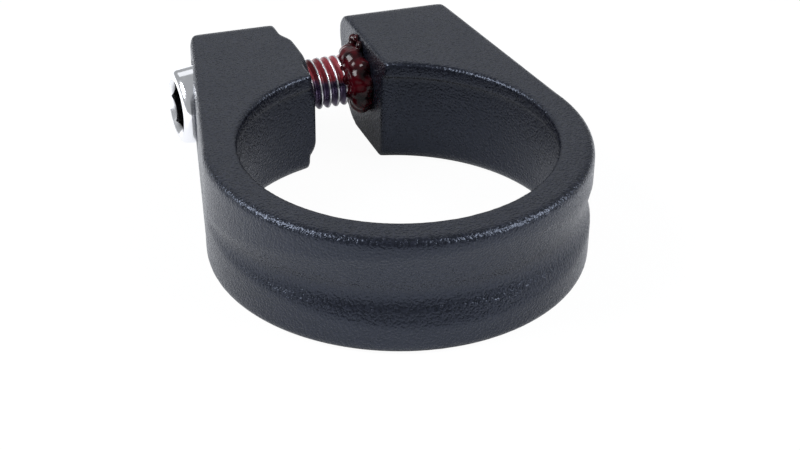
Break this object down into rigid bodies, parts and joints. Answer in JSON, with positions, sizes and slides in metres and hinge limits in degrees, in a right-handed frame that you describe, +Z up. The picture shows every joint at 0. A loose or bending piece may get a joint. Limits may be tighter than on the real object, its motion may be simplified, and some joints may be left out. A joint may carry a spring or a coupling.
{
  "type": "seatpost clamp",
  "caption": "Split ring collar with two ears and a socket-head bolt that draws them together to grip a seat tube round a seatpost.",
  "frame": {"origin": "on the ring axis, in the collar's middle plane", "axes": "+Z up along the ring axis towards the lip, +Y from the ring axis to the ears and the slot, X along the bolt with its head at -X"},
  "size_m": [0.0401, 0.0519, 0.0128],
  "materials": {
    "collar": "fine textured black powder coat over forged aluminium",
    "bolt": "bright nickel plated steel, plain rolled thread",
    "thread_lock": "glossy cured dark red compound"
  },
  "bodies": {
    "collar": {"collar": "collar", "thread_lock": "thread_lock"},
    "bolt": {"bolt": "bolt"}
  },
  "joints": [
    {"name": "bolt_turn", "type": "hinge", "parent": "collar", "child": "bolt", "pos_m": [0, 0.0244, 0.0007], "axis": [1, 0, 0], "continuous": true}
  ]
}
